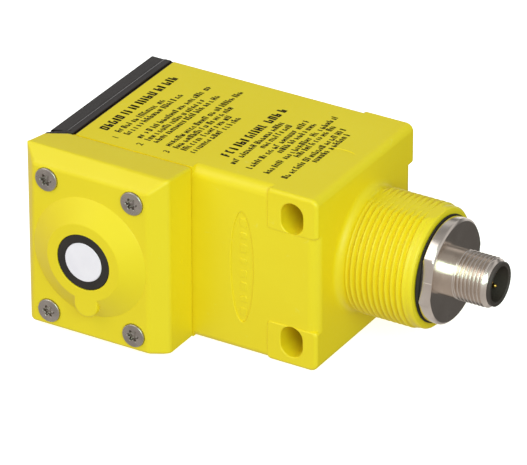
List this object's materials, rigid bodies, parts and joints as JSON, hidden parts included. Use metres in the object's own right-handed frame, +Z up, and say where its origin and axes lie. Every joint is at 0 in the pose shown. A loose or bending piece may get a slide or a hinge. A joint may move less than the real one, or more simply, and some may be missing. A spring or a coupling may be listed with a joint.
{
  "type": "ultrasonic proximity sensor",
  "caption": "Block-style yellow industrial proximity sensor, flat transducer head, M30 threaded neck and M12 plug, smoked lift-off cover over push button and slide switches.",
  "frame": {"origin": "middle of the underside, on the broad side that the sensor lies on", "axes": "+X along the neck axis towards the connector, -Y is the way the transducer looks, +Z up through the printed broad side"},
  "size_m": [0.106, 0.0614, 0.0457],
  "materials": {
    "yellow_plastic": "satin moulded plastic",
    "smoked_plastic": "polished smoked transparent plastic",
    "black_rubber": "matte",
    "black_plastic": "satin moulded plastic",
    "white_face": "fine matte",
    "ceramic": "sintered",
    "stainless": "turned and tumbled",
    "nickel_plate": "turned and nickel plated",
    "gold_plate": "bright plated",
    "circuit_board": "solder mask",
    "lamp_green": "clear tinted",
    "lamp_yellow": "clear tinted",
    "grey_foam": "matte filled resin",
    "wire_jacket": "extruded jacket",
    "winding": "enamelled wire",
    "aluminium_can": "drawn"
  },
  "bodies": {
    "body": {"housing": "yellow_plastic", "head": "yellow_plastic", "head_seal": "black_rubber", "transducer_face": "white_face", "isolation_ring": "black_rubber", "piezo_disc": "ceramic", "transducer_can": "aluminium_can", "acoustic_backing": "grey_foam", "temperature_sensor": "black_plastic", "control_panel": "black_plastic", "control_board": "circuit_board", "tact_switch": "aluminium_can", "dip_switch_body": "black_plastic", "led_green": "lamp_green", "led_yellow": "lamp_yellow", "main_board": "circuit_board", "board_header": "black_plastic", "microcontroller": "black_plastic", "pulse_transformer": "winding", "smoothing_capacitor": "aluminium_can", "transducer_board": "circuit_board", "transducer_ribbon": "wire_jacket", "lead_plug": "white_face", "connector_leads": "wire_jacket", "sealing_washer": "black_rubber", "connector_shell": "nickel_plate", "connector_insert": "black_plastic", "head_screw_1": "stainless", "head_screw_2": "stainless", "head_screw_3": "stainless", "head_screw_4": "stainless", "contact_pin_1": "gold_plate", "contact_pin_2": "gold_plate", "contact_pin_3": "gold_plate", "contact_pin_4": "gold_plate", "contact_pin_5": "gold_plate"},
    "cover": {"top_cover": "smoked_plastic", "cover_gasket": "black_rubber", "cover_screw_1": "stainless", "cover_screw_2": "stainless"},
    "button": {"limits_button": "black_plastic", "tact_plunger": "black_plastic"},
    "slider_1": {"dip_slider_1": "white_face"},
    "slider_2": {"dip_slider_2": "white_face"},
    "slider_3": {"dip_slider_3": "white_face"},
    "slider_4": {"dip_slider_4": "white_face"}
  },
  "joints": [
    {"name": "cover_lift", "type": "slide", "parent": "body", "child": "cover", "axis": [-1, 0, 0], "range_m": [0, 0.02]},
    {"name": "button_press", "type": "slide", "parent": "body", "child": "button", "axis": [1, 0, 0], "range_m": [0, 0.0005], "stiffness_N_per_m": 800, "springref_m": -0.0005},
    {"name": "switch_1", "type": "slide", "parent": "body", "child": "slider_1", "axis": [0, 1, 0], "range_m": [0, 0.0014]},
    {"name": "switch_2", "type": "slide", "parent": "body", "child": "slider_2", "axis": [0, 1, 0], "range_m": [0, 0.0014]},
    {"name": "switch_3", "type": "slide", "parent": "body", "child": "slider_3", "axis": [0, 1, 0], "range_m": [0, 0.0014]},
    {"name": "switch_4", "type": "slide", "parent": "body", "child": "slider_4", "axis": [0, 1, 0], "range_m": [0, 0.0014]}
  ]
}
